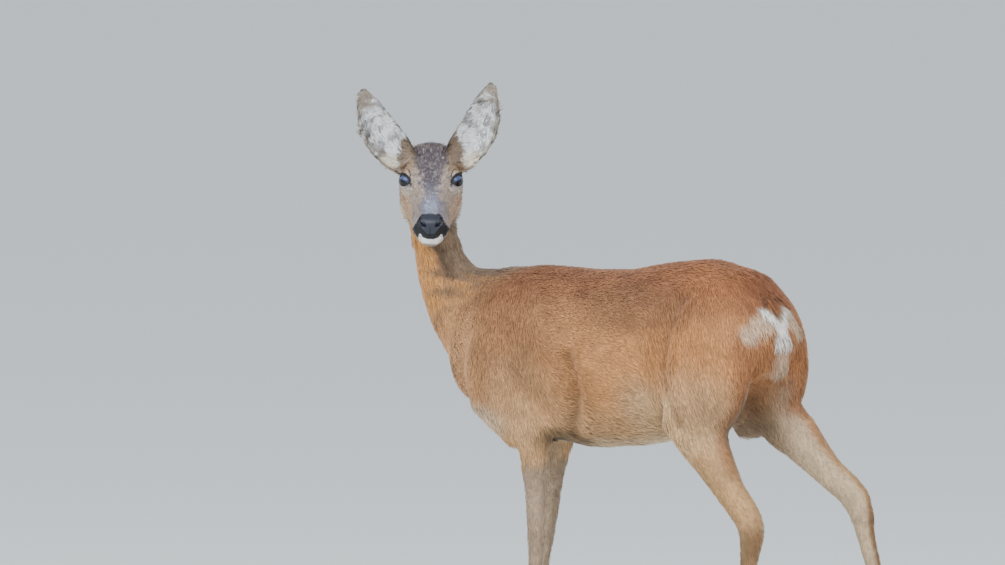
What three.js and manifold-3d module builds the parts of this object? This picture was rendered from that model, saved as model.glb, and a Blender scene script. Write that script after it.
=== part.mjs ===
// A roe deer doe, standing, with its head turned back over the left shoulder.
// Millimetres, +Z up. The deer faces -X, its left side is -Y and the floor is Z = 0.
import * as THREE from "three";
import { ParametricGeometry } from "three/addons/geometries/ParametricGeometry.js";
import { mergeVertices } from "three/addons/utils/BufferGeometryUtils.js";
import Module from "manifold-3d";

// ---- Driving dimensions -------------------------------------------------------------------

const WITHERS = 658; // height of the back over the shoulder
const CROUP = 686; // height of the back over the hips
const BELLY = 398; // height of the underside behind the elbows
const CORONET = 30; // height of the top edge of a hoof
const CLAW = 8.4; // half width of one claw
const SEAM = 0.4; // width of the cuts that part one node from the next

// The trunk from breast to rump: x, height of the widest line, reach up, reach down, half width.
const TRUNK = [
  { x: -332, z: 472, up: 16, down: 20, wide: 20 },
  { x: -312, z: 482, up: 74, down: 50, wide: 52 },
  { x: -268, z: 510, up: 124, down: 98, wide: 74 },
  { x: -210, z: 528, up: 126, down: 124, wide: 86 },
  { x: -150, z: 536, up: WITHERS - 536, down: 536 - BELLY, wide: 92 },
  { x: -70, z: 540, up: 116, down: 150, wide: 97 },
  { x: 5, z: 545, up: 112, down: 149, wide: 102 },
  { x: 80, z: 552, up: 114, down: 149, wide: 102 },
  { x: 150, z: 566, up: 114, down: 144, wide: 98 },
  { x: 212, z: 580, up: CROUP - 580, down: 130, wide: 92 },
  { x: 262, z: 586, up: 89, down: 108, wide: 84 },
  { x: 304, z: 574, up: 60, down: 84, wide: 69 },
  { x: 334, z: 556, up: 32, down: 50, wide: 44 },
  { x: 347, z: 548, up: 12, down: 16, wide: 18 },
];

// The neck from inside the chest to the skull: centre, reach to the throat, reach to the nape, half width.
const NECK = [
  { at: [-195, 0, 530], front: 100, back: 110, wide: 60 },
  { at: [-262, 0, 548], front: 94, back: 106, wide: 60 },
  { at: [-324, -2, 580], front: 79, back: 70, wide: 50 },
  { at: [-363, -9, 626], front: 60, back: 41, wide: 40 },
  { at: [-381, -19, 678], front: 44, back: 30, wide: 33 },
  { at: [-384, -28, 728], front: 38, back: 35, wide: 34 },
  { at: [-382, -34, 768], front: 32, back: 30, wide: 31 },
];

// The head lies along its own axis: s runs back from the nose tip, z is up, y is to the deer's right.
const HEAD = { tip: [-258, -143, 710], yaw: 138, pitch: 24 };
const SKULL = [
  { s: 0, z: 1, up: 8, down: 11, wide: 12 },
  { s: 7, z: 0, up: 16, down: 23, wide: 20 },
  { s: 18, z: -3, up: 22, down: 31, wide: 25 },
  { s: 38, z: -8, up: 30, down: 29, wide: 28 },
  { s: 62, z: -6, up: 34, down: 35, wide: 31 },
  { s: 84, z: 0, up: 36, down: 47, wide: 37.5 },
  { s: 104, z: 8, up: 38, down: 64, wide: 44.5 },
  { s: 122, z: 9, up: 47, down: 72, wide: 47.5 },
  { s: 142, z: 2, up: 63, down: 60, wide: 47 },
  { s: 162, z: 2, up: 62, down: 48, wide: 42 },
  { s: 182, z: 4, up: 49, down: 38, wide: 34 },
  { s: 195, z: 8, up: 18, down: 18, wide: 18 },
];
const JAW = [[-12, -14], [62, -24], [100, -38], [106, -76]]; // the mouth and the back of the jaw
const EYE = { s: 107, y: 34, z: 24.5, radius: 13 };

// Each ear: where it leaves the skull, and the step from there to its tip.
const EARS = {
  left: { root: [146, -42, 38], tip: [16, -50, 119], bow: [5, -11.5, -4], turn: -6 },
  right: { root: [146, 41, 36], tip: [12, 62, 113], bow: [5, 10, -4], turn: 6 },
};
// Half width and half wrap in degrees, at even steps from inside the skull to the tip.
const EAR = {
  thick: 2.6,
  faces: [-0.88, 0, 0.47],
  sections: [
    { wide: 10, wrap: 140 }, { wide: 12, wrap: 132 }, { wide: 19, wrap: 112 },
    { wide: 26.5, wrap: 90 }, { wide: 30.5, wrap: 78 }, { wide: 30.8, wrap: 72 },
    { wide: 27.5, wrap: 64 }, { wide: 20, wrap: 56 }, { wide: 7, wrap: 44 },
  ],
};

// The joints of each leg, from the body to the toe.
const FORELEGS = {
  left: {
    blade: [-172, -46, 628], shoulder: [-222, -62, 505], elbow: [-122, -64, 430],
    wrist: [-120, -56, 262], fetlock: [-135, -54, 98], toe: [-160, -54, 0],
  },
  right: {
    blade: [-176, 46, 628], shoulder: [-232, 62, 505], elbow: [-199, 62, 430],
    wrist: [-212, 48, 262], fetlock: [-240, 46, 98], toe: [-268, 46, 0],
  },
};
const HINDLEGS = {
  left: {
    hip: [236, -46, 610], thigh: [244, -56, 520], stifle: [214, -62, 452],
    hock: [344, -58, 302], fetlock: [326, -56, 98], toe: [300, -56, 0],
  },
  right: {
    hip: [240, 46, 610], thigh: [248, 54, 520], stifle: [256, 58, 466],
    hock: [446, 58, 338], fetlock: [532, 56, 114], toe: [520, 56, 0],
  },
};

// ---- Solids -------------------------------------------------------------------------------

const wasm = await Module();
wasm.setup();

const vector = (p) => new THREE.Vector3(...p);
const between = (a, b, share) => vector(a).lerp(vector(b), share).toArray();

// A closed geometry as a solid that can be joined and cut.
function solidOf(geometry) {
  const bare = geometry.clone();
  bare.deleteAttribute("normal");
  bare.deleteAttribute("uv");
  const merged = mergeVertices(bare, 1e-3);
  const corners = merged.index.array;
  const triVerts = [];
  for (let i = 0; i < corners.length; i += 3) {
    const [a, b, c] = [corners[i], corners[i + 1], corners[i + 2]];
    if (a !== b && b !== c && c !== a) triVerts.push(a, b, c);
  }
  const vertProperties = merged.attributes.position.array;
  const solid = new wasm.Manifold(
    new wasm.Mesh({ numProp: 3, vertProperties, triVerts: new Uint32Array(triVerts) }),
  );
  if (solid.volume() > 0) return solid;
  return new wasm.Manifold(
    new wasm.Mesh({ numProp: 3, vertProperties, triVerts: new Uint32Array(triVerts.reverse()) }),
  );
}

function geometryOf(solid) {
  const mesh = solid.getMesh();
  const geometry = new THREE.BufferGeometry();
  geometry.setAttribute("position", new THREE.BufferAttribute(mesh.vertProperties, 3));
  geometry.setIndex(new THREE.BufferAttribute(mesh.triVerts, 1));
  return geometry;
}

const joined = (...solids) => solids.reduce((whole, next) => whole.add(next));

// Splits a solid with a cutter into the body nearest to a point and all the rest.
function parted(solid, cutter, point) {
  const near = vector(point);
  const away = (body) => {
    const { min, max } = body.boundingBox();
    return vector(min).add(vector(max)).multiplyScalar(0.5).distanceTo(near);
  };
  const [first, ...others] = solid.subtract(cutter).decompose().sort((a, b) => away(a) - away(b));
  return [first, joined(...others)].map((solid) => solid.asOriginal());
}

// A closed form lofted along a smooth path. Each station has a centre, a reach along the
// section's own normal, a reach against it and a half width; pinch makes the ends round.
function loft(
  stations, { around = 18, along = 20, side = [0, 1, 0], pinch = 0, power = 2, low = power } = {},
) {
  const path = new THREE.CatmullRomCurve3(stations.map((s) => vector(s.at)));
  const reach = new THREE.CatmullRomCurve3(
    stations.map((s) => new THREE.Vector3(s.up, s.down, s.wide)),
  );
  const rounded = (v, full) => Math.sign(v) * Math.abs(v) ** (2 / full);
  const point = (u, v, target) => {
    const row = Math.round(v * along);
    const t = THREE.MathUtils.clamp((row - 1) / (along - 2), 0, 1);
    const step = pinch ? (1 - Math.cos(Math.PI * t)) / 2 : t;
    const closed = row === 0 || row === along;
    const tangent = path.getTangent(step);
    const across = vector(side).addScaledVector(tangent, -vector(side).dot(tangent)).normalize();
    const normal = new THREE.Vector3().crossVectors(tangent, across);
    const { x: up, y: down, z: wide } = reach.getPoint(step);
    const angle = 2 * Math.PI * (u % 1);
    const full = Math.sin(angle) < 0 ? low : power;
    const lift = rounded(Math.sin(angle), full);
    target.copy(path.getPoint(step));
    if (closed) return;
    target.addScaledVector(across, wide * rounded(Math.cos(angle), full));
    target.addScaledVector(normal, lift * (lift > 0 ? up : down));
  };
  return solidOf(new ParametricGeometry(point, around, along));
}

function ellipsoid(centre, radii, detail = 12) {
  const geometry = new THREE.SphereGeometry(1, detail, Math.round(detail * 0.6));
  geometry.scale(...radii);
  geometry.translate(...centre);
  return solidOf(geometry);
}

// A thin round cutter through a point, square to a direction.
function disc(centre, normal, radius, thick = SEAM) {
  const geometry = new THREE.CylinderGeometry(radius, radius, thick, 10);
  const up = new THREE.Vector3(0, 1, 0);
  const turn = new THREE.Quaternion().setFromUnitVectors(up, vector(normal).normalize());
  geometry.applyQuaternion(turn);
  geometry.translate(...centre);
  return solidOf(geometry);
}

// The space outside a region's inner wall and inside its outer one, as a cutter.
function shell(centre, radii) {
  const inner = ellipsoid(centre, radii, 10);
  const outer = ellipsoid(centre, radii.map((r) => r + SEAM), 10);
  return outer.subtract(inner);
}

// An upright plate across the head, following a line of steps back and up from the nose tip.
function plate(line, reach, thick = SEAM) {
  const lower = line.map(([s, z]) => new THREE.Vector2(s, z));
  const upper = line.map(([s, z]) => new THREE.Vector2(s + thick, z + thick)).reverse();
  const outline = new THREE.Shape([...lower, ...upper]);
  const geometry = new THREE.ExtrudeGeometry(outline, { depth: 2 * reach, bevelEnabled: false });
  geometry.translate(0, 0, -reach);
  geometry.rotateX(Math.PI / 2);
  return solidOf(geometry);
}

// The wall and floor of an oval pocket let into one flank, for lifting a limb off the trunk.
function pocket({ x, z, radii, floor, side }) {
  const oval = (grow) => {
    const geometry = new THREE.CylinderGeometry(1, 1, 150 + grow, 14);
    geometry.scale(radii[0] + grow, 1, radii[1] + grow);
    geometry.translate(x, side * (floor + 75 - grow / 2), z);
    return solidOf(geometry);
  };
  return oval(SEAM).subtract(oval(0));
}

// ---- Trunk and neck -----------------------------------------------------------------------

function trunkForm() {
  const stations = TRUNK.map(({ x, z, up, down, wide }) => ({ at: [x, 0, z], up, down, wide }));
  return loft(stations, { around: 18, along: 18, pinch: 1, power: 2.15 });
}

function neckForm() {
  const stations = NECK.map(({ at, front, back, wide }) => ({ at, up: front, down: back, wide }));
  return loft(stations, { around: 14, along: 12 });
}

// ---- Legs ---------------------------------------------------------------------------------

// Reach behind the bone line, in front of it, and to each side, at each station.
const section = (at, back, front, wide) => ({ at, up: back, down: front, wide });

// The shoulder blade and upper arm, lying flat on the ribs.
function shoulderForm({ blade, shoulder, elbow }) {
  const side = Math.sign(elbow[1]);
  const point = (x, y, z) => [x, side * y, z];
  return loft(
    [
      section(point(blade[0] + 4, 40, blade[2]), 16, 16, 16),
      section(point(blade[0] - 6, 50, blade[2] - 40), 46, 42, 30),
      section(point(shoulder[0] + 24, 60, shoulder[2] + 25), 60, 60, 38),
      section(point(shoulder[0] + 30, 64, shoulder[2] - 25), 66, 70, 38),
      section(point(elbow[0] - 36, 64, elbow[2] + 8), 66, 52, 32),
      section(point(elbow[0] - 16, 63, elbow[2] - 30), 36, 34, 26),
    ],
    { around: 12, along: 10 },
  );
}

function forelegForm({ elbow, wrist, fetlock, toe }) {
  const top = [elbow[0] - 14, elbow[1], elbow[2] + 34];
  return loft(
    [
      section(top, 44, 30, 26),
      section(elbow, 40, 32, 27),
      section(between(elbow, wrist, 0.3), 26, 25, 23),
      section(between(elbow, wrist, 0.65), 18.5, 18.5, 18),
      section(wrist, 17, 18, 17.5),
      section(between(wrist, fetlock, 0.22), 15, 14, 14),
      section(between(wrist, fetlock, 0.7), 14, 12, 12.5),
      section(fetlock, 19, 15, 16),
      section(between(fetlock, toe, 0.34), 14, 13, 14.5),
      section(between(fetlock, toe, 0.78), 17, 16, 17),
    ],
    { around: 10, along: 18 },
  );
}

// The rump and thigh muscles over the hip and knee, filled in at the groin.
function haunchForm({ hip, thigh, stifle }) {
  const groin = [stifle[0] + 12, stifle[1] * 0.72, stifle[2] + 22];
  return joined(ellipsoid(groin, [66, 32, 50], 8), loft(
    [
      section([hip[0], hip[1] * 0.8, hip[2] + 40], 28, 30, 20),
      section([hip[0] + 4, hip[1], hip[2] + 10], 60, 52, 36),
      section([hip[0] + 8, hip[1] * 1.1, hip[2] - 34], 84, 84, 46),
      section(thigh, 92, 98, 45),
      section([thigh[0] - 6, thigh[1] * 1.02, thigh[2] - 44], 74, 84, 40),
      section([stifle[0] + 10, stifle[1] * 1.02, stifle[2] - 22], 44, 46, 31),
    ],
    { around: 14, along: 11 },
  ));
}

function hindlegForm({ stifle, hock, fetlock, toe }) {
  const top = [stifle[0] - 2, stifle[1], stifle[2] + 40];
  return loft(
    [
      section(top, 50, 40, 34),
      section(stifle, 56, 40, 34),
      section(between(stifle, hock, 0.35), 44, 33, 29),
      section(between(stifle, hock, 0.7), 28, 26, 22),
      section(hock, 32, 23, 19),
      section(between(hock, fetlock, 0.2), 20, 17, 15),
      section(between(hock, fetlock, 0.65), 14, 13, 12.5),
      section(fetlock, 19, 16, 16),
      section(between(fetlock, toe, 0.34), 14, 13, 14.5),
      section(between(fetlock, toe, 0.78), 17, 16, 17),
    ],
    { around: 10, along: 20 },
  );
}

// A leg cut off level at the top of its hoof.
function trimmed(leg, [x, y]) {
  return leg.subtract(disc([x, y, CORONET - 40], [0, 0, 1], 70, 80));
}

// One of the two claws of a hoof, with a flat sole on the floor.
function clawForm([x, y], side) {
  const stations = [
    { z: 0, front: 27, back: 17 },
    { z: 9, front: 23, back: 18 },
    { z: 20, front: 17, back: 18 },
    { z: CORONET - SEAM, front: 12, back: 16 },
  ];
  const centre = y + side * (CLAW + 0.5);
  return loft(
    stations.map(({ z, front, back }) => ({ at: [x, centre, z], up: front, down: back, wide: CLAW })),
    { around: 8, along: 5 },
  );
}

// ---- Head ---------------------------------------------------------------------------------

// Local axes of the head: back from the nose tip, to the deer's right, and up.
function headAxes() {
  const yaw = THREE.MathUtils.degToRad(HEAD.yaw);
  const pitch = THREE.MathUtils.degToRad(HEAD.pitch);
  const level = Math.cos(pitch);
  const back = new THREE.Vector3(Math.cos(yaw) * level, Math.sin(yaw) * level, Math.sin(pitch));
  const right = new THREE.Vector3(0, 0, 1).cross(back).normalize();
  const up = new THREE.Vector3().crossVectors(back, right);
  return new THREE.Matrix4().makeBasis(back, right, up).setPosition(...HEAD.tip);
}

const axes = headAxes();
const placed = (solid) => solid.transform(axes.toArray());
const headPoint = (p) => vector(p).applyMatrix4(axes).toArray();

function skullForm() {
  const stations = SKULL.map(({ s, z, up, down, wide }) => ({ at: [s, 0, z], up, down, wide }));
  return loft(stations, { around: 18, along: 15, pinch: 1, power: 2.45, low: 3.3 });
}

// A cupped ear: a thin trough rolled into a tube at its root and opening to a leaf.
function earForm({ root, tip, bow, turn }) {
  const start = vector(root);
  const step = vector(tip);
  const axis = step.clone().normalize();
  const spine = new THREE.CatmullRomCurve3([
    start.clone().addScaledVector(step, -0.12),
    start.clone(),
    start.clone().addScaledVector(step, 0.5).add(vector(bow)),
    start.clone().add(step),
  ]);
  const open = vector(EAR.faces).addScaledVector(axis, -vector(EAR.faces).dot(axis)).normalize();
  open.applyAxisAngle(axis, THREE.MathUtils.degToRad(turn));
  const across = new THREE.Vector3().crossVectors(axis, open);
  const shape = new THREE.CatmullRomCurve3(
    EAR.sections.map(({ wide, wrap }) => new THREE.Vector3(wide, wrap, 0)),
  );
  const around = 16;
  const along = 10;
  const point = (u, v, target) => {
    const row = Math.round(v * along);
    const t = THREE.MathUtils.clamp((row - 1) / (along - 2), 0, 1);
    const { x: wide, y: wrap } = shape.getPoint(t);
    const half = THREE.MathUtils.degToRad(wrap);
    const bend = wide / Math.sin(Math.min(half, Math.PI / 2));
    const turnBack = (u % 1) * 2;
    const outside = turnBack < 1;
    const angle = half * (outside ? 2 * turnBack - 1 : 3 - 2 * turnBack);
    const closed = row === 0 || row === along;
    const inset = (EAR.thick * (closed ? 1 : outside ? 0 : 2)) / 2;
    target.copy(spine.getPoint(t));
    target.addScaledVector(across, (bend - inset) * Math.sin(angle));
    target.addScaledVector(open, bend - (bend - inset) * Math.cos(angle));
  };
  return solidOf(new ParametricGeometry(point, around, along));
}

// ---- Assembly -----------------------------------------------------------------------------

const paint = (color, roughness) => new THREE.MeshStandardMaterial({ color, roughness, metalness: 0 });
const deer = new THREE.Group();
deer.name = "roe_deer";

function add(name, solid, material) {
  const mesh = new THREE.Mesh(geometryOf(solid), material.clone());
  mesh.name = name;
  deer.add(mesh);
}

const coat = paint(0xa8714a, 0.9);
const horn = paint(0x2b2522, 0.5);
const eyeball = paint(0x14100e, 0.05);
const noseSkin = paint(0x1d1a1b, 0.45);

let body = joined(trunkForm(), neckForm(), placed(skullForm()));
for (const side of ["left", "right"]) {
  body = joined(
    body,
    shoulderForm(FORELEGS[side]),
    trimmed(forelegForm(FORELEGS[side]), FORELEGS[side].toe),
    haunchForm(HINDLEGS[side]),
    trimmed(hindlegForm(HINDLEGS[side]), HINDLEGS[side].toe),
    placed(earForm(EARS[side])),
  );
}

// Takes one piece off the body with a cutter, and names it.
function lift(name, cutter, point, material = coat) {
  const [piece, rest] = parted(body, cutter, point);
  add(name, piece, material);
  body = rest;
}

// Lets a separate solid into the body, with a seam of the usual width round it.
function inlay(name, centre, radii, material, detail) {
  body = body.subtract(ellipsoid(centre, radii.map((r) => r + SEAM), detail));
  add(name, ellipsoid(centre, radii, detail), material);
}

const SIDES = [["left", -1], ["right", 1]];

for (const [name, side] of SIDES) {
  const ear = EARS[name];
  const [low, middle] = [0.2, 0.6].map((share) =>
    headPoint(vector(ear.root).addScaledVector(vector(ear.tip), share)),
  );
  lift("ear_" + name, disc(low, vector(middle).sub(vector(low)).toArray(), 44), middle);
  inlay("eye_" + name, headPoint([EYE.s, side * EYE.y, EYE.z]), Array(3).fill(EYE.radius), eyeball, 12);
}

for (const side of [-1, 1]) {
  body = body.subtract(placed(ellipsoid([0, side * 11, 6], [8, 4, 4.5], 6)));
}
lift("nose_pad", placed(shell([3, 0, 6], [16, 19, 15])), headPoint([3, 0, 6]), noseSkin);
lift("lower_jaw", placed(plate(JAW, 70)), headPoint([50, 0, -35]));
lift("head", disc([-381, -24, 694], [0, -0.15, 1], 62), headPoint([110, 0, 0]));
lift("neck", disc([-285, 0, 565], [-0.8, 0, 0.6], 118), [-350, -5, 610]);

inlay("tail", [334, 0, 591], [12, 14, 17], coat, 10);
inlay("rump_tuft", [346, 0, 545], [13, 15, 28], coat, 10);

// Cuts one leg into its lengths from the foot up, and lifts the last off the flank.
function jointed(leg, side, joints, names, upperCut, upper) {
  const { fetlock, toe } = joints;
  const ankle = joints.wrist ?? joints.hock;
  for (const [where, step] of [["inner", -side], ["outer", side]]) {
    add(leg + "_claw_" + where, clawForm(toe, step), horn);
    const spur = [fetlock[0] + 9, fetlock[1] + step * 8, fetlock[2] - 18];
    inlay(leg + "_dewclaw_" + where, spur, [6.5, 4.5, 8], horn, 6);
  }
  const down = (from, to) => vector(to).sub(vector(from)).toArray();
  lift(leg + "_pastern", disc(fetlock, [0, 0, 1], 40), between(fetlock, toe, 0.4));
  lift(leg + "_cannon", disc(ankle, [0, 0, 1], 50), between(ankle, fetlock, 0.5));
  lift(leg + names[0], disc(upperCut, down(upperCut, ankle), 70), between(upperCut, ankle, 0.5));
  lift(leg + names[1], pocket({ side, ...upper }), [upper.x, side * 70, upper.z]);
}

for (const [name, side] of SIDES) {
  const fore = FORELEGS[name];
  const elbowCut = between(fore.elbow, fore.wrist, 0.36);
  elbowCut[0] -= 8;
  jointed("foreleg_" + name, side, fore, ["_forearm", "_shoulder"], elbowCut, {
    x: (fore.shoulder[0] + fore.elbow[0]) / 2 + 8, z: 478, radii: [102, 165], floor: 28,
  });
  const hind = HINDLEGS[name];
  const kneeCut = between(hind.stifle, hind.hock, 0.3);
  jointed("hindleg_" + name, side, hind, ["_gaskin", "_thigh"], kneeCut, {
    x: hind.hip[0] + 6, z: 505, radii: [108, 155], floor: 28,
  });
}
add("trunk", body, coat);

// The middle of the model's box stands over the origin, with the soles on the floor.
const box = new THREE.Box3().setFromObject(deer);
const middle = box.getCenter(new THREE.Vector3());
for (const mesh of deer.children) mesh.geometry.translate(-middle.x, -middle.y, -box.min.z);

export default deer;
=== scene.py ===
import math
import bpy
import bmesh
import numpy as np
from mathutils import Vector, Matrix
from mathutils.bvhtree import BVHTree


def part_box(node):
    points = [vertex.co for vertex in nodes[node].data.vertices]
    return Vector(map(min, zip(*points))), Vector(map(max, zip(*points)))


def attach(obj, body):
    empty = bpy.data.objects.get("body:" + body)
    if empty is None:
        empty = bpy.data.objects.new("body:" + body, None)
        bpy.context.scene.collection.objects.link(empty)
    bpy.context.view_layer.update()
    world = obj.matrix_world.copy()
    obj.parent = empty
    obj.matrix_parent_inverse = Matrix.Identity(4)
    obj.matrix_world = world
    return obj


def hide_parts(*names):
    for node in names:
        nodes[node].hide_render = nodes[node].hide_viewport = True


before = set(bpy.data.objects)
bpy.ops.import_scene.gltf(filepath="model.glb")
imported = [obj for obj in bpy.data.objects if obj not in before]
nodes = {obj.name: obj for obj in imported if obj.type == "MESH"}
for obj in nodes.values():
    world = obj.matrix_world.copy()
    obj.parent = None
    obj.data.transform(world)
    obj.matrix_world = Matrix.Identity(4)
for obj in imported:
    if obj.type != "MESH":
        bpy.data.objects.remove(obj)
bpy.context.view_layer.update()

# Roe doe, life size, standing still and looking back over the left hip. Metres, Z up, body facing -X.
scene = bpy.context.scene

# ---------------------------------------------------------------- camera, light, floor
studio = dict(target=(-0.1785, -0.0940, 0.6376), azimuth=48.0, elevation=4.0, distance=20.0, lens=487.16,
              floorSize=400.0, sky=(0.86, 0.93, 1.02), boxAzimuth=34.0, boxElevation=36.0, boxDistance=4.4,
              boxWide=9.0, boxHigh=2.8, boxPower=400.0, boxTint=(0.93, 0.97, 1.0))


def unitVector(azimuth, elevation):
    a, e = math.radians(azimuth), math.radians(elevation)
    return Vector((math.sin(a) * math.cos(e), -math.cos(a) * math.cos(e), math.sin(e)))


def makeCamera():
    back = unitVector(studio["azimuth"], studio["elevation"])
    camera = bpy.data.objects.new("camera", bpy.data.cameras.new("camera"))
    camera.data.lens = studio["lens"]
    camera.data.sensor_width = 36.0
    camera.data.clip_start, camera.data.clip_end = 0.5, 500.0
    camera.location = Vector(studio["target"]) + back * studio["distance"]
    camera.rotation_mode = "QUATERNION"
    camera.rotation_quaternion = (-back).to_track_quat("-Z", "Y")
    scene.collection.objects.link(camera)
    scene.camera = camera


def makeStudio():
    world = bpy.data.worlds.new("studioSky")
    scene.world = world
    world.use_nodes = True
    background = world.node_tree.nodes["Background"]
    background.inputs["Color"].default_value = (*studio["sky"], 1)
    panel = bpy.data.lights.new("softbox", "AREA")
    panel.shape = "RECTANGLE"
    panel.size, panel.size_y = studio["boxWide"], studio["boxHigh"]
    panel.energy = studio["boxPower"]
    panel.color = studio["boxTint"]
    softbox = bpy.data.objects.new("softbox", panel)
    toBox = unitVector(studio["boxAzimuth"], studio["boxElevation"])
    softbox.location = Vector(studio["target"]) + toBox * studio["boxDistance"]
    softbox.rotation_mode = "QUATERNION"
    softbox.rotation_quaternion = (-toBox).to_track_quat("-Z", "Y")
    scene.collection.objects.link(softbox)
    bm = bmesh.new()
    bmesh.ops.create_grid(bm, x_segments=1, y_segments=1, size=studio["floorSize"] / 2)
    mesh = bpy.data.meshes.new("floor")
    bm.to_mesh(mesh)
    bm.free()
    floor = bpy.data.objects.new("floor", mesh)
    scene.collection.objects.link(floor)
    paint = bpy.data.materials.new("paleFloor")
    paint.use_nodes = True
    shader = paint.node_tree.nodes["Principled BSDF"]
    shader.inputs["Base Color"].default_value = (0.80, 0.81, 0.79, 1)
    shader.inputs["Roughness"].default_value = 0.9
    mesh.materials.append(paint)


makeCamera()
makeStudio()
print("studio ready")

# ---------------------------------------------------------------- places on the head
# The head's own axes: back runs from nose to poll, right is the doe's right, up is off the brow.
headPlace = dict(tip=(-0.32093, -0.1086, 0.710), yaw=138.0, pitch=24.0)
eyeShape = dict(s=0.107, y=0.034, z=0.0245, radius=0.013)


def headAxes():
    yaw, pitch = math.radians(headPlace["yaw"]), math.radians(headPlace["pitch"])
    back = Vector((math.cos(yaw) * math.cos(pitch), math.sin(yaw) * math.cos(pitch), math.sin(pitch)))
    right = Vector((math.cos(yaw + math.pi / 2), math.sin(yaw + math.pi / 2), 0))
    up = back.cross(right)
    if up.z < 0:
        up.negate()
    return np.array([back, right, up])


headBasis = headAxes()
headTip = np.array(headPlace["tip"])


def toHead(points):
    return (points - headTip) @ headBasis.T


def fromHead(local):
    return local @ headBasis + headTip


# ---------------------------------------------------------------- small mesh helpers
def meshObject(name, mesh):
    piece = bpy.data.objects.new(name, mesh)
    scene.collection.objects.link(piece)
    return piece


def vertexArray(mesh):
    found = np.empty(len(mesh.vertices) * 3, np.float32)
    mesh.vertices.foreach_get("co", found)
    return found.reshape(-1, 3).astype(np.float64)


def edgeArray(mesh):
    found = np.empty(len(mesh.edges) * 2, np.int32)
    mesh.edges.foreach_get("vertices", found)
    return found.reshape(-1, 2)


def setVertices(mesh, points):
    mesh.vertices.foreach_set("co", points.astype(np.float32).ravel())
    mesh.update()


def normalArray(mesh):
    found = np.empty(len(mesh.vertices) * 3, np.float32)
    mesh.vertex_normals.foreach_get("vector", found)
    return found.reshape(-1, 3).astype(np.float64)


def relax(values, edges, rounds, share=0.5):
    a, b = edges[:, 0], edges[:, 1]
    count = len(values)
    degree = np.maximum(np.bincount(a, minlength=count) + np.bincount(b, minlength=count), 1)
    flat = values.reshape(count, -1).copy()
    weight = np.broadcast_to(np.asarray(share, float).reshape(-1, 1), (count, 1))
    for _ in range(rounds):
        mean = np.empty_like(flat)
        for k in range(flat.shape[1]):
            mean[:, k] = (np.bincount(a, flat[b, k], count) + np.bincount(b, flat[a, k], count)) / degree
        flat += (mean - flat) * weight
    return flat.reshape(values.shape)


def smoothStep(x, low, high):
    t = np.clip((x - low) / (high - low), 0, 1)
    return t * t * (3 - 2 * t)


def hump(x, middle, reach):
    return np.exp(-((x - middle) / reach) ** 2)


def joined(names, voxel, swell=0.0):
    bm = bmesh.new()
    for name in names:
        bm.from_mesh(nodes[name].data)
    bmesh.ops.remove_doubles(bm, verts=bm.verts, dist=1e-5)
    mesh = bpy.data.meshes.new("joined")
    bm.to_mesh(mesh)
    bm.free()
    if swell:
        setVertices(mesh, vertexArray(mesh) + normalArray(mesh) * swell)
    block = meshObject("joined", mesh)
    remesh = block.modifiers.new("voxels", "REMESH")
    remesh.mode = "VOXEL"
    remesh.voxel_size = voxel
    depsgraph = bpy.context.evaluated_depsgraph_get()
    result = bpy.data.meshes.new_from_object(block.evaluated_get(depsgraph))
    bpy.data.objects.remove(block)
    bpy.data.meshes.remove(mesh)
    return result


# ---------------------------------------------------------------- skin
skinShape = dict(bodyVoxel=0.0060, headVoxel=0.0017, neckCut=0.676, bodyRounds=14, headRounds=14)
legNames = [n for n in nodes if n.startswith(("foreleg", "hindleg")) and "claw" not in n]
clawNames = [n for n in nodes if "claw" in n]
headNames = ["head", "lower_jaw", "nose_pad", "eye_left", "eye_right", "neck", "ear_left", "ear_right"]
bodyNames = ["trunk", "neck", "head", "tail", "rump_tuft"] + legNames


def largestPart(bm):
    left, best = set(bm.verts), []
    while left:
        start = left.pop()
        part, queue = [start], [start]
        while queue:
            for edge in queue.pop().link_edges:
                for vert in edge.verts:
                    if vert in left:
                        left.remove(vert)
                        part.append(vert)
                        queue.append(vert)
        if len(part) > len(best):
            if best:
                bmesh.ops.delete(bm, geom=best, context="VERTS")
            best = part
        else:
            bmesh.ops.delete(bm, geom=part, context="VERTS")


def cutAtNeck(mesh, keepHead):
    bm = bmesh.new()
    bm.from_mesh(mesh)
    cut = skinShape["neckCut"]
    geom = [v for v in bm.verts if keepHead or (v.co.x < -0.35 and v.co.z > cut - 0.03)]
    near = set(geom)
    geom += [e for e in bm.edges if e.verts[0] in near and e.verts[1] in near]
    geom += [f for f in bm.faces if all(v in near for v in f.verts)]
    bmesh.ops.bisect_plane(bm, geom=geom, plane_co=(0, 0, cut), plane_no=(0, 0, 1), dist=1e-5,
                           clear_outer=not keepHead, clear_inner=keepHead)
    largestPart(bm)
    bm.to_mesh(mesh)
    bm.free()
    return mesh


bodyMesh = joined(bodyNames, skinShape["bodyVoxel"])
setVertices(bodyMesh, relax(vertexArray(bodyMesh), edgeArray(bodyMesh), skinShape["bodyRounds"]))
headMesh = joined(headNames, skinShape["headVoxel"], 0.0003)
headPoints = vertexArray(headMesh)


def earShare(points):
    local = toHead(points)
    return smoothStep(local[:, 2] + 0.35 * np.abs(local[:, 1]), 0.072, 0.088)


earHold = earShare(headPoints)
setVertices(headMesh, relax(headPoints, edgeArray(headMesh), skinShape["headRounds"], 0.5 - 0.42 * earHold))
print("head mesh", len(headMesh.vertices), "body mesh", len(bodyMesh.vertices))
cutAtNeck(bodyMesh, False)
cutAtNeck(headMesh, True)
bm = bmesh.new()
bm.from_mesh(bodyMesh)
bm.from_mesh(headMesh)
rims = [e for e in bm.edges if e.is_boundary]
bmesh.ops.bridge_loops(bm, edges=rims)
bmesh.ops.recalc_face_normals(bm, faces=bm.faces)


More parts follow.
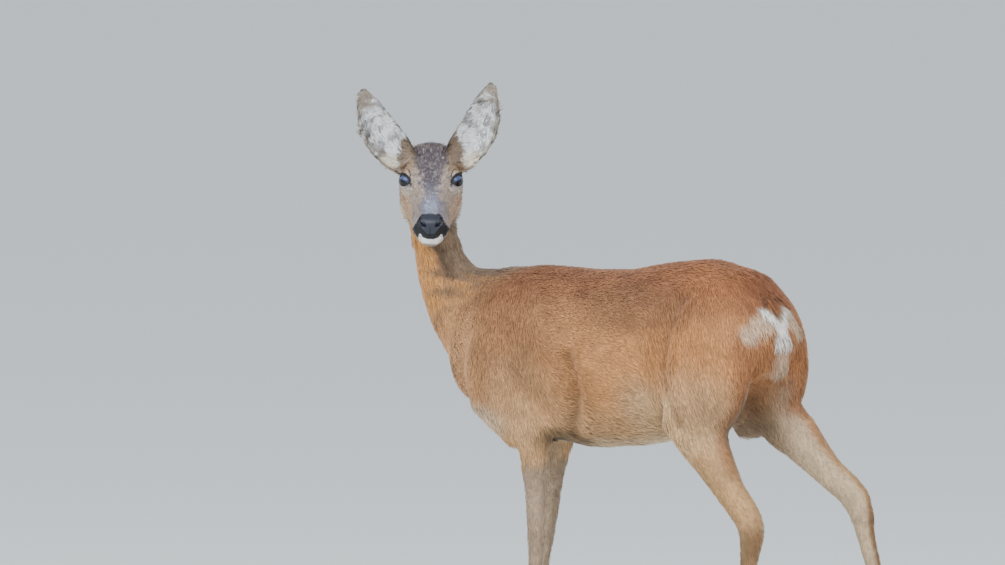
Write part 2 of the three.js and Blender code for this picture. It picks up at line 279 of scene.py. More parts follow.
def finer(bm, centre, reach):
    middle = Vector(fromHead(np.array(centre)))
    near = [f for f in bm.faces if (f.calc_center_median() - middle).length < reach]
    inner = list({e for f in near for e in f.edges})
    bmesh.ops.subdivide_edges(bm, edges=inner, cuts=1, use_grid_fill=True)


finer(bm, (0.008, 0, -0.002), 0.034)
for k in (-1, 1):
    finer(bm, (0.101, k * 0.041, 0.026), 0.021)
skinMesh = bpy.data.meshes.new("skin")
bm.to_mesh(skinMesh)
print("open edges", sum(e.is_boundary for e in bm.edges), "faces", len(bm.faces))
bm.free()
skin = meshObject("skin", skinMesh)
skinMesh.polygons.foreach_set("use_smooth", np.ones(len(skinMesh.polygons), bool))

# part of the body that each point of the skin belongs to, from the nearest CAD node
partNames = ["head", "lower_jaw", "ear_left", "ear_right", "neck", "trunk", "tail", "rump_tuft"] + legNames


def nearestPart(points):
    best, label = np.full(len(points), 1e9), np.zeros(len(points), int)
    for k, name in enumerate(partNames):
        tree = BVHTree.FromPolygons([v.co for v in nodes[name].data.vertices],
                                    [tuple(p.vertices) for p in nodes[name].data.polygons])
        low, high = (np.array(c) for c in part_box(name))
        close = np.flatnonzero(((points > low - 0.02) & (points < high + 0.02)).all(1))
        for i in close:
            gap = tree.find_nearest(Vector(points[i]), 0.03)[3]
            if gap is not None and gap < best[i]:
                best[i], label[i] = gap, k
    return label


points = vertexArray(skinMesh)
edges = edgeArray(skinMesh)
label = nearestPart(points)
print("parts known")

pairs = label[edges]
crease = np.zeros(len(points))
isEar = np.isin(pairs, [partNames.index("ear_left"), partNames.index("ear_right")]).any(1)
meets = edges[(pairs[:, 0] != pairs[:, 1]) & ~isEar]
crease[meets.ravel()] = 1
local = toHead(points)
headSide = np.isin(label, [partNames.index("head"), partNames.index("lower_jaw")])
crease[headSide & (local[:, 0] < 0.075)] = 0
crease = np.clip(relax(crease[:, None], edges, 12)[:, 0] * 3, 0, 1)
crease[headSide & (local[:, 0] < 0.07)] = 0
throat = smoothStep(0.728 - points[:, 2], 0.0, 0.03) * smoothStep(local[:, 0], 0.075, 0.10)
crease = np.maximum(crease * ~headSide, throat * (points[:, 2] > 0.64))
for turn in range(26):
    points = relax(points, edges, 1, 0.55 * crease)
    points = relax(points, edges, 1, -0.56 * crease)
points = relax(points, edges, 3, 0.5 * crease)
setVertices(skinMesh, points)
print("creases eased")

foldLines = dict(thigh=[(0.158, 0.630), (0.137, 0.575), (0.128, 0.527), (0.137, 0.492), (0.163, 0.447)],
                 elbow=[(-0.072, 0.535), (-0.060, 0.510), (-0.058, 0.480), (-0.075, 0.450), (-0.100, 0.425)],
                 flank=[(0.118, 0.470), (0.098, 0.444), (0.080, 0.418)])
foldDepth = dict(thigh=0.0040, elbow=0.0030, flank=0.0030)


def strokeGap(flat, line):
    # distance to a bent line in the plane
    best = np.full(len(flat), 1e9)
    for a, b in zip(line[:-1], line[1:]):
        a, b = np.array(a, float), np.array(b, float)
        t = np.clip(((flat - a) @ (b - a)) / ((b - a) @ (b - a)), 0, 1)
        best = np.minimum(best, np.linalg.norm(flat - a - t[:, None] * (b - a), axis=1))
    return best


middleY = 0.0344  # the body's own middle plane
normals = relax(normalArray(skinMesh), edges, 2)
onSide = smoothStep(np.abs(points[:, 1] - middleY), 0.03, 0.055) * smoothStep(np.abs(normals[:, 1]), 0.35, 0.7)
for name, line in foldLines.items():
    gap = strokeGap(points[:, ::2], line)
    push = foldDepth[name] * (0.55 * hump(gap, 0.024, 0.013) - hump(gap, 0, 0.010)) * onSide
    points = points + normals * push[:, None]
dip = (points - (-0.353, middleY, 0.630)) / (0.034, 0.060, 0.034)  # fills the notch between neck and withers
points[:, 2] += 0.0095 * np.exp(-(dip ** 2).sum(1)) * smoothStep(normals[:, 2], 0.0, 0.5)
setVertices(skinMesh, points)

coatDepth = dict(head=0.0014, lower_jaw=0.0014, ear_left=0.0004, ear_right=0.0004, neck=0.0022, trunk=0.0024,
                 tail=0.003, rump_tuft=0.004, shoulder=0.0024, thigh=0.0024, forearm=0.0016, gaskin=0.0018,
                 cannon=0.0012, pastern=0.001)
depth = np.array([coatDepth.get(n, coatDepth.get(n.split("_")[-1], 0.002)) for n in partNames])[label]
local = toHead(points)
toNeck = smoothStep(0.735 - points[:, 2], 0.0, 0.05) * smoothStep(local[:, 0], 0.07, 0.11)
depth = np.where(np.isin(label, [partNames.index("head"), partNames.index("lower_jaw")]),
                 coatDepth["head"] + (coatDepth["neck"] - coatDepth["head"]) * toNeck, depth)
depth = relax(depth[:, None], edges, 16)[:, 0]
normals = relax(normalArray(skinMesh), edges, 2)
normals /= np.linalg.norm(normals, axis=1)[:, None]
points = points - normals * depth[:, None]

# ---------------------------------------------------------------- face: lids, brow, nostrils, mouth, chin
lidShape = dict(forward=0.0100, rear=0.0110, upper=0.0082, lower=0.0074, corner=1.95, thick=0.0012,
                gaze=(-0.70, 0.60, 0.38), slant=(-0.92, 0.0, 0.22))


def unit(v):
    return v / np.maximum(np.linalg.norm(v, axis=-1, keepdims=True), 1e-12)


def eyeFrame(k):
    centre = np.array((eyeShape["s"], k * eyeShape["y"], eyeShape["z"]))
    gaze = unit(np.array(lidShape["gaze"]) * (1, k, 1))
    slant = np.array(lidShape["slant"])
    ahead = unit(slant - (slant @ gaze) * gaze)
    above = np.cross(gaze, ahead)
    return centre, gaze, ahead, above if above[2] > 0 else -above


def lidRatio(x, y):
    # 1 on the edge of the lids, less inside the opening
    a = np.where(x > 0, lidShape["forward"], lidShape["rear"])
    b = np.where(y > 0, lidShape["upper"], lidShape["lower"])
    power = lidShape["corner"]
    return ((np.abs(x) / a) ** power + (np.abs(y) / b) ** power) ** (1 / power)


def shapeLids(local):
    out = local.copy()
    radius = eyeShape["radius"]
    for k in (-1, 1):
        centre, gaze, ahead, above = eyeFrame(k)
        d = local - centre
        r = np.linalg.norm(d, axis=1)
        x, y, w = d @ ahead, d @ above, d @ gaze
        near = (r < 0.034) & (w > -0.002)
        q = lidRatio(x, y)
        margin = np.abs(q - 1) < 0.085
        scale = np.where(margin, 1 / np.maximum(q, 0.1), 1.0)
        dirn = unit((x * scale)[:, None] * ahead + (y * scale)[:, None] * above
                    + np.sqrt(np.maximum(r ** 2 - (x * scale) ** 2 - (y * scale) ** 2, 1e-8))[:, None] * gaze)
        thick = lidShape["thick"] * np.where(y > 0, 1.25, 1.0)
        inside = q < 0.915
        goal = np.where(inside, radius - 0.0026, radius + thick * np.where(margin, 0.75, 1.0))
        away = smoothStep(q, 1.45, 2.35)
        fold = 0.0009 * hump(q, 1.75, 0.16) * smoothStep(y, 0, 0.004)
        new = centre + dirn * (goal * (1 - away) + r * away - fold)[:, None]
        fade = smoothStep(w, -0.002, 0.003)[:, None]
        out = np.where(near[:, None], out * (1 - fade) + new * fade, out)
    return out


lidLines = [([(33.5, 73), (31.2, 68), (28.6, 58)], 1.3), ([(31.0, 76), (30.6, 82), (33.5, 88), (36.5, 90.5)], 0.7),
            ([(52.5, 76.5), (49.5, 80.8), (45, 83.2), (38.5, 82.6), (34, 77.5)], 1.3)]
nostrilLine = [(9.0, 4.2), (12.0, 5.5), (14.2, 9.5), (14.6, 14.5)]


def shapeMuzzle(local):
    mm = local * 1000
    s, y, z = mm[:, 0], mm[:, 1], mm[:, 2]
    a, rise = np.abs(y), 0.4696 * s + 0.8825 * z
    front = 1 - smoothStep(s, 22, 34)
    slit = strokeGap(np.stack([a, rise], 1), nostrilLine)
    move = np.zeros_like(mm)
    pit = 4.6 * (1 - smoothStep(slit, 0.7, 2.8)) * front
    move[:, 0] += pit
    move[:, 1] -= 0.35 * pit * np.sign(y)
    wing = hump(slit, 3.6, 1.3) * (a > 11) * front * smoothStep(rise, 0, 5)
    move[:, 0] -= 0.5 * wing
    move[:, 1] += 1.1 * wing * np.sign(y)
    move[:, 0] += 0.9 * hump(y, 0, 1.1) * smoothStep(rise, -11, -8) * (1 - smoothStep(rise, 0, 3)) * front
    mouth = -14 - (s + 12) * 0.135
    groove = hump(z, mouth, 1.3) * (1 - smoothStep(s, 44, 58))
    move[:, 1] -= 1.3 * groove * np.sign(y) * smoothStep(a, 3, 12)
    move[:, 0] += 1.3 * groove * front
    move[:, 2] -= 4.6 * smoothStep(-16 - z, 0, 7) * (1 - smoothStep(s, 24, 46)) * (1 - smoothStep(a, 6, 20) * 0.8)
    move[:, 1] -= 0.17 * y * smoothStep(-11 - z, 0, 6) * (1 - smoothStep(s, 16, 44))
    lipWide = smoothStep(a, 12, 22) * hump(rise, 2, 13) * (1 - smoothStep(s, 24, 48))
    move[:, 1] += 3.2 * lipWide * np.sign(y)
    return local + move / 1000


def shapeBrow(local):
    mm = local * 1000
    a = np.abs(mm[:, 1])
    lift = 2.2 * np.exp(-(((mm[:, 0] - 108) / 17) ** 2 + ((a - 37) / 9) ** 2 + ((mm[:, 2] - 40) / 8) ** 2))
    lift -= 1.4 * np.exp(-(((mm[:, 0] - 84) / 9) ** 2 + ((a - 36) / 8) ** 2 + ((mm[:, 2] - 10) / 7) ** 2))
    out = local.copy()
    out[:, 1] += lift / 1000 * np.sign(local[:, 1])
    out[:, 2] += np.maximum(lift, 0) / 1600
    return out


onFace = np.flatnonzero(np.isin(label, [partNames.index("head"), partNames.index("lower_jaw")]))
face = toHead(points[onFace])
face = shapeLids(shapeBrow(shapeMuzzle(face)))
points[onFace] = fromHead(face)
setVertices(skinMesh, points)
print("skin", len(skinMesh.vertices), "vertices", sum(len(p.vertices) - 2 for p in skinMesh.polygons), "triangles")


# ---------------------------------------------------------------- lie of the coat
earPlace = dict(left=dict(root=(0.146, -0.042, 0.038), step=(0.016, -0.050, 0.119)),
                right=dict(root=(0.146, 0.041, 0.036), step=(0.012, 0.062, 0.113)), opens=(-0.88, 0.0, 0.47))
flowOf = dict(trunk=(1.0, 0, -0.22), neck=(0.5, 0, -0.86), tail=(-0.45, 0, -1), rump_tuft=(-0.45, 0, -1),
              shoulder=(0.42, 0, -0.9), thigh=(0.42, 0, -0.9), forearm=(-0.1, 0, -1), cannon=(0, 0, -1),
              pastern=(-0.3, 0, -1), gaskin=(0.62, 0, -0.78))


def alongSkin(v, n):
    return unit(v - (v * n).sum(-1, keepdims=True) * n)


earWide = (0.010, 0.012, 0.019, 0.0265, 0.0305, 0.0308, 0.0275, 0.020, 0.007)


def earField(local, n):
    # for each point: share in an ear, rise along it, place across it (-1 inner edge, 1 outer), inside or back
    count = len(local)
    found = dict(share=np.zeros(count), rise=np.full(count, -1.0), across=np.zeros(count), inside=np.zeros(count),
                 axis=np.zeros((count, 3)), outward=np.zeros((count, 3)), rim=np.zeros(count))
    for side, k in (("left", -1), ("right", 1)):
        root, step = (np.array(earPlace[side][key]) for key in ("root", "step"))
        axis = unit(step)
        opens = np.array(earPlace["opens"])
        opens = unit(opens - (opens @ axis) * axis)
        outward = np.cross(axis, opens)
        outward *= np.sign(outward[1] * k)
        t = (local - root) @ step / (step @ step)
        bow = np.array((0.005, k * 0.0105, -0.004)) * 4
        spine = root + t[:, None] * step + (np.clip(t, 0, 1) * (1 - np.clip(t, 0, 1)))[:, None] * bow
        wide = np.interp(t, np.linspace(-0.12, 1, 9), earWide)
        off = local - spine
        across = off @ outward / wide
        centre = spine + opens * wide[:, None] * 0.95
        facing = (n * unit(centre - local)).sum(1)
        inside = smoothStep(facing, 0.05, 0.4)
        near = 1 - smoothStep(np.linalg.norm(off, axis=1) / np.maximum(wide, 0.012), 1.5, 1.9)
        share = near * (smoothStep(t, 0.03, 0.16) * (1 - inside) + smoothStep(t, -0.12, -0.02) * inside)
        rim = (1 - smoothStep(np.abs(facing), 0.25, 0.6)) * smoothStep(np.abs(across), 0.7, 0.9) * smoothStep(t, 0.1, 0.25)
        better = share > found["share"]
        for key, value in (("share", share), ("rise", t), ("across", across), ("inside", inside), ("rim", rim)):
            found[key] = np.where(better, value, found[key])
        found["axis"][better] = axis
        found["outward"][better] = outward
    return found


def skinFlow(at, normals, label):
    flow = np.zeros((len(at), 3))
    for k, name in enumerate(partNames):
        key = name if name in flowOf else name.split("_")[-1]
        flow[label == k] = flowOf.get(key, (1, 0, 0))
    trunk = label == partNames.index("trunk")
    rump = smoothStep(at[:, 0], 0.12, 0.27)[:, None]
    flow = np.where(trunk[:, None], flow * (1 - rump) + np.array((0.3, 0, -1.0)) * rump, flow)
    local = toHead(at)
    onHead = np.isin(label, [partNames.index(n) for n in ("head", "lower_jaw", "ear_left", "ear_right")])
    side = np.sign(local[:, 1]) * smoothStep(np.abs(local[:, 1]), 0.004, 0.03)
    face = np.stack([np.ones(len(at)), 0.25 * side, -0.05 - 0.25 * np.abs(side)], 1)
    toNeck = smoothStep(0.718 - at[:, 2], 0.0, 0.03) * smoothStep(local[:, 0], 0.07, 0.1)
    face = unit(face) * (1 - toNeck)[:, None] + (np.array(flowOf["neck"]) @ headBasis.T) * toNeck[:, None]
    ear = earField(local, normals @ headBasis.T)
    share = ear["share"][:, None]
    face = face * (1 - share) + ear["axis"] * share
    flow = np.where(onHead[:, None], face @ headBasis, flow)
    return alongSkin(flow, normals)


normals = unit(relax(normalArray(skinMesh), edges, 1))
flow = skinFlow(points, normals, label)
blend = relax(flow, edges, 10)
blend = alongSkin(blend, normals)
print("lie of the coat set")


# ---------------------------------------------------------------- colours
def linear(colour):
    c = np.array([int(colour[i:i + 2], 16) for i in (0, 2, 4)]) / 255
    return np.where(c < 0.04045, c / 12.92, ((c + 0.055) / 1.055) ** 2.4)


def grain(at, scale, seed=0):
    # smooth value noise, 0 to 1, on a lattice of the given size in metres, one size or one per axis
    p = at / np.asarray(scale, float) + seed * 17.31
    low = np.floor(p).astype(np.int64)
    f = p - low
    f = f * f * (3 - 2 * f)
    total = np.zeros(len(at))
    for corner in range(8):
        step = np.array([corner & 1, corner >> 1 & 1, corner >> 2 & 1])
        q = low + step
        h = (q[:, 0] * 374761393 + q[:, 1] * 668265263 + q[:, 2] * 2147483647 + seed * 97) & 0xFFFFFFFF
        h = ((h ^ (h >> 13)) * 1274126177) & 0xFFFFFFFF
        h = (h ^ (h >> 16)) & 0xFFFF
        total += h / 65535.0 * np.where(step, f, 1 - f).prod(1)
    return total


def spot(at, centre, reach, soft=0.5):
    far = np.linalg.norm((at - np.array(centre)) / np.array(reach), axis=1)
    return 1 - smoothStep(far, 1 - soft, 1 + soft)


bodyTones = dict(base="c98d57", back="865234", croup="a3673f", haunch="c4844f", shoulder="a0704a", low="d0ab7e",
                 cream="d8bda0", belly="cfb692", chest="d29c6a", neck="88745f", neckShade="564230", throat="e09c58", leg="a18a73",
                 gaskin="b38a5c", hock="84603f", cannon="846848", shade="5e412c", loin="78543b", foot="7d6a58", white="f0ebe2", tuft="b79b82", elbow="57452f",
                 inner="c2a888", groinShade="6a5240", strand="5f3f2b")
headTones = dict(face="a39080", cheek="c2946a", cream="e6d8c0", forehead="544b52", fleck="d9d0c6",
                 bridge="696a7a", bridgeLow="8c91a6", ring="cabdb0", duct="2b2321", brow="b59069", smudge="64544b",
                 lid="8a8290", black="17171c", white="f2efea", jaw="cda577", poll="5d4e48", nape="8b7560", earBack="86725f", earRim="3d332f",
                 earIn="fbfbfc", earEdge="9f9384", earRoot="7d6650", earSkin="8d827b")


def bodyColour(at, normals, label):
    tone = {k: linear(v) for k, v in bodyTones.items()}
    colour = np.broadcast_to(tone["base"], (len(at), 3)).copy()
    x, z = at[:, 0], at[:, 2]
    y = np.abs(at[:, 1] - middleY)
    fold = np.stack([x, y, z], 1)
    wave = (grain(at, 0.03, 1) - 0.5) * 0.02

    def lay(name, weight):
        colour[:] += (tone[name] - colour) * np.clip(weight, 0, 1)[:, None]

    streak = grain(at, (0.05, 0.007, 0.007), 2)
    lay("shoulder", spot(fold, (-0.235, 0.07, 0.56), (0.13, 0.09, 0.15)) * 0.85)
    lay("haunch", spot(fold, (0.20, 0.06, 0.53), (0.15, 0.09, 0.17)) * 0.8)
    lay("back", smoothStep(z + wave, 0.570, 0.655) * (0.65 + 0.35 * streak) * smoothStep(x, -0.33, -0.25))
    lay("croup", spot(fold, (0.17, 0.03, 0.66), (0.11, 0.06, 0.06)) * 0.7)
    lay("back", spot(fold, (0.25, 0.0, 0.635), (0.05, 0.05, 0.05)) * 0.8)
    lay("loin", spot(fold, (0.06, 0.09, 0.612), (0.13, 0.07, 0.035)) * 0.55)
    lay("low", smoothStep(0.46 - z + wave, -0.03, 0.05) * 0.55)
    lay("low", spot(fold, (0.19, 0.09, 0.45), (0.10, 0.07, 0.07)) * 0.6)
    lay("low", spot(fold, (-0.19, 0.08, 0.485), (0.07, 0.06, 0.045)) * 0.2)
    lay("chest", spot(fold, (-0.34, 0.02, 0.50), (0.08, 0.10, 0.08)) * 0.9)
    lay("belly", smoothStep(-normals[:, 2], 0.78, 0.99) * smoothStep(0.46 - z, 0, 0.03) * 0.8)
    lay("cream", spot(fold, (-0.28, 0.04, 0.426), (0.065, 0.075, 0.028)) * 0.9)
    lay("low", spot(fold, (0.07, 0.07, 0.455), (0.045, 0.06, 0.05)) * 0.7)
    # painted shade: a dark patch at the elbow, where shade falls between the foreleg and the chest
    lay("elbow", spot(fold, (-0.130, 0.05, 0.404), (0.045, 0.05, 0.020)) * 0.75)
    isNeck = np.isin(label, [partNames.index(n) for n in ("neck", "head", "lower_jaw")])
    neckShare = smoothStep(z - 0.55 * (x + 0.30), 0.60, 0.66)
    turn = np.radians(180 + 78 * smoothStep(z, 0.46, 0.72))
    facing = normals[:, 0] * np.cos(turn) + normals[:, 1] * np.sin(turn)
    front = smoothStep(facing + (streak - 0.5) * 0.5, 0.35, 0.9)
    band = hump(facing + (streak - 0.5) * 0.4, 0.30, 0.32) * smoothStep(0.75 - np.abs(normals[:, 2]), 0, 0.3)
    lay("neck", neckShare * (0.92 + 0.16 * (streak - 0.5)))
    # painted shade: a darker band along the side of the neck, set by which way the surface faces
    lay("neckShade", neckShare * band * 0.8)
    # the throat's orange is partly its own colour and partly painted light, brightened to stand in for warm light on
    # the front of the neck
    lay("throat", neckShare * front * 0.9)
    for k, name in enumerate(partNames):
        if not name.startswith(("foreleg", "hindleg")):
            continue
        mine = (label == k).astype(float)
        end = name.split("_")[-1]
        inward = smoothStep(-(at[:, 1] - middleY) * normals[:, 1] * np.sign(at[:, 1] - middleY) ** 2
                            / np.maximum(y, 1e-4), 0.2, 0.8)
        if name.startswith("foreleg") and end != "shoulder":
            lay("leg", mine * smoothStep(0.43 - z, 0, 0.09) * 0.95)
        if name.startswith("hindleg") and end != "thigh":
            low = smoothStep((0.295 if "left" in name else 0.33) + wave - z, -0.04, 0.03)
            lay("gaskin", mine * smoothStep(0.46 - z, 0, 0.06) * 0.9)
            lay("cannon", mine * low * 0.8)
        if name.startswith("hindleg") and end == "cannon":
            lay("hock", mine * smoothStep(z, 0.22, 0.28) * smoothStep(normals[:, 0], -0.2, 0.6) * 0.8)
        if end == "pastern":
            lay("foot", mine * smoothStep(0.09 - z, 0, 0.06))
        lay("inner", mine * inward * (0.65 if end in ("thigh", "shoulder", "gaskin") else 0.35))
    inside = smoothStep(-(at[:, 1] - middleY) * normals[:, 1] / np.maximum(y, 1e-4), 0.1, 0.7)
    lay("inner", inside * smoothStep(x, 0.13, 0.19) * smoothStep(0.52 - z, 0, 0.05) * smoothStep(y, 0.01, 0.03) * 0.7)
    # painted shade: darker in the groin, between the hind legs
    lay("groinShade", spot(fold, (0.20, 0.03, 0.46), (0.07, 0.05, 0.06), 0.6) * 0.6)
    # painted shade: the coat is darkened along the thigh, elbow and flank fold creases, where shade falls
    for name, paintedShade, reach in (("thigh", 0.45, 0.008), ("elbow", 0.50, 0.011), ("flank", 0.60, 0.008)):
        lay("shade", hump(strokeGap(fold[:, ::2], foldLines[name]), 0, reach) * smoothStep(y, 0.03, 0.06) * paintedShade)
    lay("low", hump(strokeGap(fold[:, ::2] - (0.020, 0.004), foldLines["flank"]), 0, 0.013) * smoothStep(y, 0.03, 0.06) * 0.75)
    rear = smoothStep(x, 0.20, 0.24)
    behind = np.stack([y, z], 1) + (streak[:, None] - 0.5) * 0.006

    def strokes(*lines, reach):
        return rear * (1 - smoothStep(np.minimum.reduce([strokeGap(behind, line) for line in lines]), reach * 0.5, reach * 1.3))

    # darker on the rear-facing surfaces of the thighs: partly the coat's own darker hair, partly painted shade
    lay("back", rear * smoothStep(normals[:, 0], 0.45, 0.9) * smoothStep(z, 0.32, 0.42) * (1 - smoothStep(z, 0.57, 0.60)) * 0.6)
    lay("strand", rear * spot(fold, (0.270, 0.008, 0.620), (0.04, 0.020, 0.020), 0.5) * smoothStep(streak, 0.35, 0.65) * 0.9)
    lay("cream", strokes([(0.018, 0.604), (0.048, 0.580)], reach=0.014) * 0.7)
    lay("tuft", strokes([(0.0, 0.575), (0.0, 0.528)], reach=0.013) * (0.6 + 0.4 * streak))
    lay("white", strokes([(0.021, 0.612), (0.002, 0.592), (0.010, 0.565)], reach=0.0062) * 0.9)
    patchy = (grain(at, (0.050, 0.024, 0.030), 5) - 0.5) * 0.30 + (grain(at, (0.016, 0.006, 0.010), 6) - 0.5) * 0.26
    return colour * (1 + (patchy * (1 - 0.6 * neckShare))[:, None])


def headColour(at, normals, hairy=0.35):
    tone = {k: linear(v) for k, v in headTones.items()}
    local = toHead(at)
    n = normals @ headBasis.T
    s, y, z = local[:, 0] * 1000, local[:, 1] * 1000, local[:, 2] * 1000
    a = np.abs(y)
    rise = 0.4696 * s + 0.8825 * z
    mm = np.stack([s, a, z], 1)
    colour = np.broadcast_to(tone["face"], (len(at), 3)).copy()
    rough = (grain(at, 0.006, 3) - 0.5)
    fine = grain(at, 0.0022, 4)

    def lay(name, weight):
        colour[:] += (tone[name] - colour) * np.clip(weight, 0, 1)[:, None]

    lay("nape", smoothStep(s, 126, 158) * 0.9)
    lay("cheek", spot(mm, (84, 36, -14), (40, 22, 26)) * 0.9)
    lay("cream", spot(mm, (112, 46, -40), (22, 18, 22)) * 0.8)
    lay("jaw", smoothStep(-n[:, 2], 0.1, 0.7) * smoothStep(s, 10, 34) * 0.85)
    upward = smoothStep(n[:, 2] - 0.5 * n[:, 0], 0.1, 0.6)
    wide = np.interp(rise, (16, 34, 50, 66), (25, 21, 15, 14))
    lay("bridge", smoothStep(wide - a + rough * 18, -4, 7) * upward * smoothStep(s, 12, 20) * (1 - smoothStep(rise, 70, 86)) * 0.85)
    lay("bridgeLow", smoothStep(15 - a, 0, 9) * smoothStep(rise, 22, 27) * (1 - smoothStep(rise, 36, 54)) * upward * 0.8)
    wide = np.interp(rise, (50, 66, 84, 101, 118, 140), (9, 13, 19, 26, 30, 28))
    top = smoothStep(wide - a + rough * 14, -4, 5) * smoothStep(rise, 48, 74) * smoothStep(z, 18, 30)
    lay("forehead", top * 0.92)
    lay("fleck", top * smoothStep(fine, 0.62, 0.8) * 0.25)
    lay("forehead", (1 - top) * smoothStep(0.38 - fine, 0, 0.15) * 0.42)
    lay("fleck", (1 - top) * smoothStep(fine, 0.64, 0.82) * 0.32)
    lay("poll", smoothStep(s, 148, 160) * smoothStep(z, 40, 56) * (1 - smoothStep(a, 26, 36)) * 0.85)
    lay("smudge", spot(np.stack([a, rise], 1), (20, 38), (9, 26)) * smoothStep(fine, 0.35, 0.6) * upward * 0.5)
    lay("brow", spot(mm, (126, 37, 44), (26, 11, 18)) * 0.7 * (1 - top))
    lay("ring", spot(mm, (96, 42, 26), (22, 14, 18), 0.4) * 0.55)
    for k in (-1, 1):
        centre, gaze, ahead, above = eyeFrame(k)
        d = local - centre
        q = lidRatio(d @ ahead, d @ above)
        edgeOn = (d @ gaze > 0) & (np.linalg.norm(d, axis=1) < 0.03)
        lay("lid", edgeOn * (1 - smoothStep(q, 1.25, 1.45)) * 0.8)
        brim = 1.02 + 0.26 * smoothStep(d @ above, -0.001, 0.004)
        lay("duct", edgeOn * (1 - smoothStep(q, brim - 0.06, brim + 0.08)) * 0.95)
    fromEye = np.linalg.norm(mm / 1000 - (eyeShape["s"], eyeShape["y"], eyeShape["z"]), axis=1)
    flat, atEye = np.stack([a, rise], 1), 1 - smoothStep(fromEye, 0.021, 0.028)
    for line, thick in lidLines:
        lay("duct", atEye * (1 - smoothStep(strokeGap(flat, line), thick * 0.6, thick * 1.7)) * 0.9)
    lay("smudge", spot(mm, (40, 25, 0), (9, 9, 8)) * 0.6)
    field = earField(local, n)
    ear, up, inside = field["share"], field["rise"], field["inside"]
    lay("earRoot", (1 - ear) * spot(mm, (142, 42, 46), (22, 16, 20), 0.5) * 0.85)
    lay("earBack", ear * (1 - inside))
    lay("earSkin", ear * inside * (1 - hairy))
    lay("earEdge", ear * inside * hairy)
    white = smoothStep(0.68 - field["across"] + rough * 0.7, -0.1, 0.25) * (1 - smoothStep(up + rough * 0.3, 0.68, 0.86))
    base = smoothStep(0.12 - 0.15 * field["across"] - up + rough * 0.12, -0.03, 0.05)
    lay("earIn", ear * inside * hairy * white)
    lay("earRoot", np.maximum(ear, smoothStep(up, -0.2, -0.1)) * inside * base * 0.95)
    lay("earRim", ear * field["rim"] * 0.8)
    lay("cream", spot(np.stack([a, rise, s], 1), (64, 101, 145), (13, 13, 26), 0.4) * 0.9)
    # black nose and mouth, white spots and chin
    band = 22.5 - smoothStep(a, 11, 30) * 21
    black = smoothStep(band - rise + rough * 3, -1, 1.5) * (1 - smoothStep(s, 34, 42)) * smoothStep(z, -26, -20)
    lay("black", black)
    lip = -15.4 + 2.4 * (np.minimum(a, 12) / 10) ** 2 + 5 * smoothStep(a, 11, 15.5) - 8 * smoothStep(a, 16.5, 19)
    chin = smoothStep(lip - rise + rough * 2.5, -0.7, 0.9) * (1 - smoothStep(s, 22, 34))
    lay("white", chin * smoothStep(20.5 - a, 0, 3) * smoothStep(rise + rough * 2, -23.5, -20.5) * (0.75 + 0.5 * fine))
    lay("cream", smoothStep(s, 20, 34) * smoothStep(-n[:, 2], 0.5, 0.9) * smoothStep(46 - s, 0, 16) * 0.6)
    return colour


def coatColour(at, normals, label, hairy=0.35):
    onHead = np.isin(label, [partNames.index(n) for n in ("head", "lower_jaw", "ear_left", "ear_right")])
    local = toHead(at)
    share = onHead * (1 - smoothStep(0.745 - at[:, 2], 0, 0.06) * smoothStep(local[:, 0], 0.08, 0.11))
    colour = bodyColour(at, normals, label)
    colour += (headColour(at, normals, hairy) - colour) * share[:, None]
    return colour


# ---------------------------------------------------------------- materials
def newMaterial(name, roughness, **sockets):
    material = bpy.data.materials.new(name)
    material.use_nodes = True
    shader = material.node_tree.nodes["Principled BSDF"]
    shader.inputs["Roughness"].default_value = roughness
    for key, value in sockets.items():
        shader.inputs[key.replace("_", " ")].default_value = value
    return material, material.node_tree, shader


def coatPaint(name, bump):
    material, tree, shader = newMaterial(name, 0.62, Sheen_Weight=0.08, Sheen_Roughness=0.5)
    shader.inputs["Specular IOR Level"].default_value = 0.28
    tint = tree.nodes.new("ShaderNodeAttribute")
    tint.attribute_name = "coatColour"
    place = tree.nodes.new("ShaderNodeTexCoord")
    mottle = tree.nodes.new("ShaderNodeTexNoise")
    mottle.inputs["Scale"].default_value = 220
    mottle.inputs["Detail"].default_value = 3
    tree.links.new(place.outputs["Object"], mottle.inputs["Vector"])
    shade = tree.nodes.new("ShaderNodeMapRange")
    shade.inputs["To Min"].default_value = 0.72
    shade.inputs["To Max"].default_value = 1.28
    tree.links.new(mottle.outputs["Fac"], shade.inputs["Value"])
    mix = tree.nodes.new("ShaderNodeVectorMath")
    mix.operation = "SCALE"
    tree.links.new(tint.outputs["Color"], mix.inputs[0])
    tree.links.new(shade.outputs["Result"], mix.inputs["Scale"])
    tree.links.new(mix.outputs["Vector"], shader.inputs["Base Color"])
    if bump:
        hairs = tree.nodes.new("ShaderNodeTexNoise")
        hairs.inputs["Scale"].default_value = 900
        hairs.inputs["Detail"].default_value = 2
        tree.links.new(place.outputs["Object"], hairs.inputs["Vector"])
        raised = tree.nodes.new("ShaderNodeBump")
        raised.inputs["Strength"].default_value = bump
        raised.inputs["Distance"].default_value = 0.0008
        tree.links.new(hairs.outputs["Fac"], raised.inputs["Height"])
        tree.links.new(raised.outputs["Normal"], shader.inputs["Normal"])
    return material


def paintVertices(mesh, colour):
    layer = mesh.color_attributes.new("coatColour", "FLOAT_COLOR", "POINT")
    flat = np.ones((len(colour), 4), np.float32)
    flat[:, :3] = colour
    layer.data.foreach_set("color", flat.ravel())


skinMesh.materials.append(coatPaint("shortCoat", 0.5))
paintVertices(skinMesh, coatColour(points, normals, label) * 0.9)
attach(skin, "root")
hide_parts(*partNames)
print("skin dressed")

